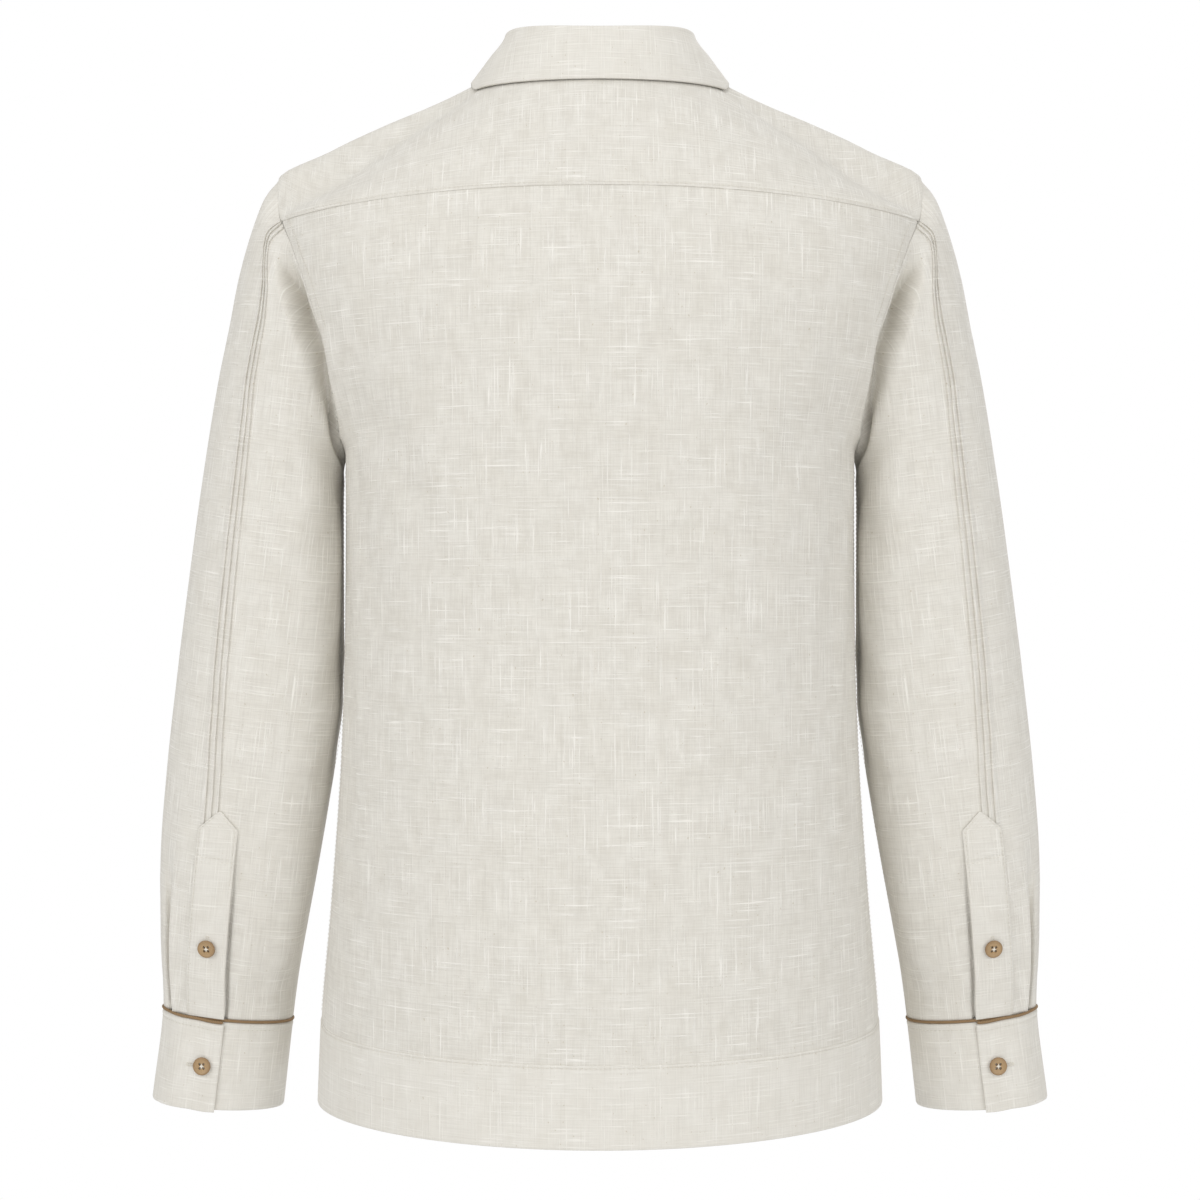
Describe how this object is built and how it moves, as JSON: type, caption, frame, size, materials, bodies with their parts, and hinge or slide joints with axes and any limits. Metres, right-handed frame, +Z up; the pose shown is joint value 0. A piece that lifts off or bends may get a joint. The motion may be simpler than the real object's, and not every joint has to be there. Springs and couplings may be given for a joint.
{
  "type": "guayabera shirt",
  "caption": "Long-sleeved linen guayabera shirt with a turned collar, back yoke, pin-tucked sleeves, piped button cuffs and a straight hem band, shown filled out as worn.",
  "frame": {"origin": "midway between the two points where the shoulders meet the collar, in the plane of the sleeves", "axes": "+Z up along the wearer's height, +Y towards the back, +X towards the wearer's left"},
  "size_m": [0.6416, 0.2748, 0.7587],
  "materials": {
    "linen": "matt slubbed linen, natural off-white",
    "piping": "matt brown corded piping",
    "button": "satin horn-coloured resin"
  },
  "bodies": {
    "root": {"back": "linen", "yoke": "linen", "front_left": "linen", "front_right": "linen", "front_placket": "linen", "collar_stand": "linen", "collar_leaf": "linen", "hem_band_back": "linen", "hem_band_left": "linen", "hem_band_right": "linen", "sleeve_left": "linen", "sleeve_placket_left": "linen", "cuff_left": "linen", "cuff_piping_left": "piping", "placket_button_left": "button", "cuff_button_left": "button", "sleeve_right": "linen", "sleeve_placket_right": "linen", "cuff_right": "linen", "cuff_piping_right": "piping", "placket_button_right": "button", "cuff_button_right": "button", "front_button_1": "button", "front_button_2": "button", "front_button_3": "button", "front_button_4": "button", "front_button_5": "button", "front_button_6": "button", "collar_button": "button"}
  },
  "joints": []
}
